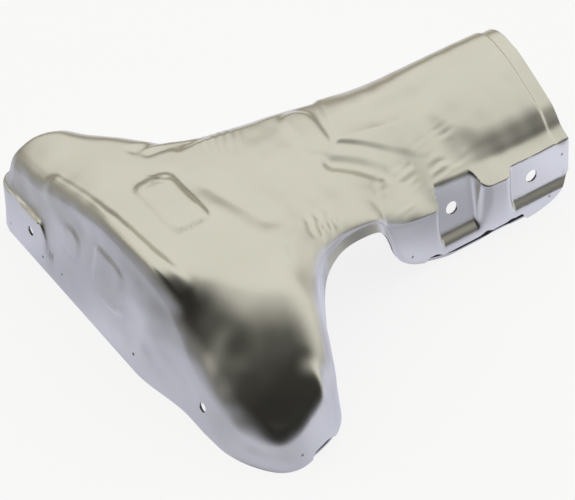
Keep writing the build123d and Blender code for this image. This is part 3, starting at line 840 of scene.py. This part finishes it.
def painted_gap_shade_mask(tree, place):
    """1 on the outward side of the inner sheet, behind the slit, where shade is painted, and 0 elsewhere.
    """
    split = add(tree, "ShaderNodeSeparateXYZ", None, None, {0: place})
    arm = band(tree, split.outputs["X"], *ARM_BAND)
    tip = band(tree, split.outputs["X"], *TIP_BAND)
    either = add(tree, "ShaderNodeMath", {"operation": "MAXIMUM"}, None, {0: arm, 1: tip})
    rise = rim_rise(tree, split.outputs["X"], arm)
    over = add(tree, "ShaderNodeMath", {"operation": "SUBTRACT"}, None, {0: split.outputs["Z"], 1: rise})
    level = band(tree, over.outputs[0], *HEIGHT_BAND)
    behind = add(tree, "ShaderNodeMath", TIMES, None, {0: either.outputs[0], 1: level})
    normal = add(tree, "ShaderNodeTexCoord").outputs["Normal"]
    sideways = add(tree, "ShaderNodeSeparateXYZ", None, None, {0: normal}).outputs["Y"]
    outward = add(tree, "ShaderNodeMapRange", None, ramp(OUTWARD_FROM, OUTWARD_TO), {"Value": sideways})
    dark = add(tree, "ShaderNodeMath", TIMES, None, {0: behind.outputs[0], 1: outward.outputs[0]})
    return dark.outputs[0]


print("band behind the slit is", HEIGHT_BAND[1] - HEIGHT_BAND[0], "mm high")

# %% Finish of the sheets
# Cloudy patches of about 45 mm. The real grain is finer than 1.2 mm, and is drawn so coarse to show.
CLOUD = {"Scale": 1 / (45 * MM), "Detail": 3.0}
GRAIN = {"Scale": 1 / (1.2 * MM), "Detail": 2.0}
GRAIN_RELIEF = {"Strength": 0.12, "Distance": 0.1 * MM}
SMOOTHEST, ROUGHEST = 0.26, 0.38
# Near-black colour of the painted shade in the gap behind the slit.
GAP_SHADE_COLOUR = "#181716"


def aluminised_steel(name, light, dark, painted_gap_shade=False):
    material = bpy.data.materials.new(name)
    material.use_nodes = True
    tree = material.node_tree
    shader = tree.nodes["Principled BSDF"]
    shader.inputs["Metallic"].default_value = 1.0
    place = add(tree, "ShaderNodeTexCoord").outputs["Object"]
    patches, grain = (
        add(tree, "ShaderNodeTexNoise", None, pattern, {"Vector": place}).outputs["Fac"]
        for pattern in (CLOUD, GRAIN)
    )
    tone = add(tree, "ShaderNodeMix", COLOUR, {6: linear(dark), 7: linear(light)}, {0: patches})
    # Painted shade: the inner sheet is darkened behind the slit, where the real gap lies in shadow.
    if painted_gap_shade:
        gap_shade_links = {0: painted_gap_shade_mask(tree, place), 6: tone.outputs[2]}
        tone = add(tree, "ShaderNodeMix", COLOUR, {7: linear(GAP_SHADE_COLOUR)}, gap_shade_links)
    tree.links.new(tone.outputs[2], shader.inputs["Base Color"])
    rough = add(tree, "ShaderNodeMapRange", None, ramp(0.0, 1.0, SMOOTHEST, ROUGHEST), {"Value": patches})
    tree.links.new(rough.outputs[0], shader.inputs["Roughness"])
    bump = add(tree, "ShaderNodeBump", None, GRAIN_RELIEF, {"Height": grain})
    tree.links.new(bump.outputs[0], shader.inputs["Normal"])
    return material


outer.data.materials.clear()
outer.data.materials.append(aluminised_steel("aluminised_steel_outside", "#D8D7CE", "#CBCAC0"))
inner.data.materials.clear()
inner.data.materials.append(aluminised_steel("aluminised_steel_inside", "#BDBAB2", "#ABA8A0", True))
print("finishes", [m.name for m in bpy.data.materials if m.name.startswith("aluminised")])

# %% [markdown]
# ## The floor and what the metal mirrors in it
# The shield lies on white studio paper. Seen by the camera the paper is plain white. Seen in the
# metal it stands for the whole room: cool paper close by, a warm wall behind, darkness in front, a
# dimmer strip on the left and a grey card before the arm's pads. Real lamps and cards could do this,
# but one material on the floor keeps the paper clean and is quick to adjust.

# %% Floor
SOFT_STEP = {"interpolation_type": "SMOOTHSTEP"}
DOT = {"operation": "DOT_PRODUCT"}
DARK_SIDE = math.radians(-22.0)
AHEAD = (-math.sin(DARK_SIDE), math.cos(DARK_SIDE), 0.0)
FLOOR_SIZE, PAPER_ROUGHNESS, GLOW_SHARE = 6.0, 0.9, 0.85
CARD_PLACE = (0.09, -0.125, 0.0)
UNEVEN = {"Scale": 1 / (70 * MM), "Detail": 1.0}
# Where each change starts and ends, in metres, as a cosine or as noise, and the power at both ends.
PAPER_EDGE, ROOM_TURN = (0.22, 0.5), (-0.5, 0.2)
SIDE_POWER, STRIP_POWER = (-0.25, 0.1, 0.95, 1.45), (-0.29, -0.17, 0.5, 1.0)
CARD_POWER, UNEVEN_POWER = (0.03, 0.08, 0.45, 1.0), (0.3, 0.7, 0.8, 1.12)


def mirrored_colour(tree, place):
    away = add(tree, "ShaderNodeVectorMath", {"operation": "LENGTH"}, None, {0: place})
    edge = add(tree, "ShaderNodeMapRange", SOFT_STEP, ramp(*PAPER_EDGE), {"Value": away.outputs["Value"]})
    bearing = add(tree, "ShaderNodeVectorMath", {"operation": "NORMALIZE"}, None, {0: place}).outputs[0]
    toward = add(tree, "ShaderNodeVectorMath", DOT, {1: AHEAD}, {0: bearing})
    turn = add(tree, "ShaderNodeMapRange", None, ramp(*ROOM_TURN), {"Value": toward.outputs["Value"]})
    walls = {6: linear("#1E1C1A"), 7: linear("#CFC8B6")}
    room = add(tree, "ShaderNodeMix", COLOUR, walls, {0: turn.outputs[0]})
    near = {6: linear("#E2E5FF")}
    return add(tree, "ShaderNodeMix", COLOUR, near, {0: edge.outputs[0], 7: room.outputs[2]}).outputs[2]


def mirrored_power(tree, place):
    x = add(tree, "ShaderNodeSeparateXYZ", None, None, {0: place}).outputs["X"]
    to_card = add(tree, "ShaderNodeVectorMath", {"operation": "DISTANCE"}, {1: CARD_PLACE}, {0: place})
    cloud = add(tree, "ShaderNodeTexNoise", None, UNEVEN, {"Vector": place}).outputs["Fac"]
    power = add(tree, "ShaderNodeMapRange", SOFT_STEP, ramp(*SIDE_POWER), {"Value": x}).outputs[0]
    changes = (
        (SOFT_STEP, STRIP_POWER, x), (SOFT_STEP, CARD_POWER, to_card.outputs["Value"]),
        (None, UNEVEN_POWER, cloud),
    )
    for settings, sizes, value in changes:
        change = add(tree, "ShaderNodeMapRange", settings, ramp(*sizes), {"Value": value})
        power = add(tree, "ShaderNodeMath", TIMES, None, {0: power, 1: change.outputs[0]}).outputs[0]
    return power


def studio_paper():
    paper = bpy.data.materials.new("pale_studio_paper")
    paper.use_nodes = True
    tree = paper.node_tree
    matt = tree.nodes["Principled BSDF"]
    matt.inputs["Base Color"].default_value = linear("#F2F2F4")
    matt.inputs["Roughness"].default_value = PAPER_ROUGHNESS
    path = add(tree, "ShaderNodeLightPath")
    by_camera = path.outputs["Is Camera Ray"]
    rays = {0: by_camera, 1: path.outputs["Is Glossy Ray"]}
    seen = add(tree, "ShaderNodeMath", {"operation": "MAXIMUM"}, None, rays)
    share = add(tree, "ShaderNodeMath", TIMES, {1: GLOW_SHARE}, {0: seen.outputs[0]})
    place = add(tree, "ShaderNodeTexCoord").outputs["Object"]
    colours = {0: by_camera, 6: mirrored_colour(tree, place)}
    tint = add(tree, "ShaderNodeMix", COLOUR, {7: linear("#FFFFFF")}, colours)
    powers = {0: by_camera, 2: mirrored_power(tree, place)}
    power = add(tree, "ShaderNodeMix", {"data_type": "FLOAT"}, {3: 1.0}, powers)
    light = {"Color": tint.outputs[2], "Strength": power.outputs[0]}
    glow = add(tree, "ShaderNodeEmission", None, None, light)
    layers = {0: share.outputs[0], 1: matt.outputs[0], 2: glow.outputs[0]}
    both = add(tree, "ShaderNodeMixShader", None, None, layers)
    tree.links.new(both.outputs[0], tree.nodes["Material Output"].inputs["Surface"])
    return paper


bpy.ops.object.select_all(action="DESELECT")
bpy.ops.mesh.primitive_plane_add(size=FLOOR_SIZE)
floor = bpy.context.object
floor.name = "pale_floor"
floor.data.materials.append(studio_paper())
print("floor", FLOOR_SIZE, "m wide, of", floor.data.materials[0].name)

# %% [markdown]
# ## Studio light
# The light is soft and even, like a tent round the shield, and dims to a warm grey low down behind
# it. It is nearly black on the side where the camera stands, and a black flag hangs on the left. A
# photographer puts both there on purpose: bare metal needs something dark to mirror, or its form is
# lost. They are painted into the world's colours, because a tent has no edges that have to be seen.

# %% Studio light
FLAG = (-0.949, -0.124, 0.289)
# Where each change starts and ends, as a cosine, and the light at its two ends.
FRONT_LIGHT, FLAG_LIGHT = (-0.72, -0.06, 0.012, 1.0), (0.86, 0.96, 1.0, 0.06)
DUSK_BEHIND, DUSK_HEIGHT = (0.2, 0.7), (0.1, 0.5, 1.0, 0.0)


def studio_light():
    world = bpy.data.worlds.new("studio")
    world.use_nodes = True
    tree = world.node_tree
    sky = tree.nodes["Background"]
    way = add(tree, "ShaderNodeTexCoord").outputs["Generated"]
    upward = add(tree, "ShaderNodeSeparateXYZ", None, None, {0: way}).outputs["Z"]
    toward = add(tree, "ShaderNodeVectorMath", DOT, {1: AHEAD}, {0: way}).outputs["Value"]
    to_flag = add(tree, "ShaderNodeVectorMath", DOT, {1: FLAG}, {0: way}).outputs["Value"]
    changes = ((FRONT_LIGHT, toward), (FLAG_LIGHT, to_flag), (DUSK_BEHIND, toward), (DUSK_HEIGHT, upward))
    front, flag, behind, low_down = (
        add(tree, "ShaderNodeMapRange", SOFT_STEP, ramp(*sizes), {"Value": value}).outputs[0]
        for sizes, value in changes
    )
    dusk = add(tree, "ShaderNodeMath", TIMES, None, {0: behind, 1: low_down})
    tones = {6: linear("#FFFDF5"), 7: linear("#8A8172")}
    shade = add(tree, "ShaderNodeMix", COLOUR, tones, {0: dusk.outputs[0]})
    tree.links.new(shade.outputs[2], sky.inputs["Color"])
    lit = add(tree, "ShaderNodeMath", TIMES, None, {0: front, 1: flag})
    tree.links.new(lit.outputs[0], sky.inputs["Strength"])
    return world


bpy.context.scene.world = studio_light()
print("light of", bpy.context.scene.world.name)

# %% [markdown]
# ## Camera
# The picture looks down at 45 degrees past the skirt, with a long lens from 1.6 m away, as for a
# catalogue: a long lens keeps the sides of the shield nearly parallel. The lens is worked out from
# the focal length in pixels and the picture's width.

# %% Camera
AZIMUTH, ELEVATION, DISTANCE = math.radians(-35.0), math.radians(45.0), 1.6
TARGET = np.array((-22.0, 11.0, 0.0)) * MM
FOCAL_PIXELS, PICTURE_PIXELS, SENSOR_WIDTH = 2550.0, 575.0, 36.0
back = np.array((
    math.sin(AZIMUTH) * math.cos(ELEVATION), -math.cos(AZIMUTH) * math.cos(ELEVATION), math.sin(ELEVATION),
))
eye = TARGET + back * DISTANCE
lens = bpy.data.cameras.new("studio_camera")
lens.sensor_width = SENSOR_WIDTH
lens.lens = SENSOR_WIDTH * FOCAL_PIXELS / PICTURE_PIXELS
camera = bpy.data.objects.new("studio_camera", lens)
bpy.context.collection.objects.link(camera)
camera.location = eye.tolist()
camera.rotation_euler = (math.radians(90.0) - ELEVATION, 0.0, AZIMUTH)
bpy.context.scene.camera = camera
bpy.context.scene.view_settings.view_transform = "Standard"
print("camera at", eye.round(3))
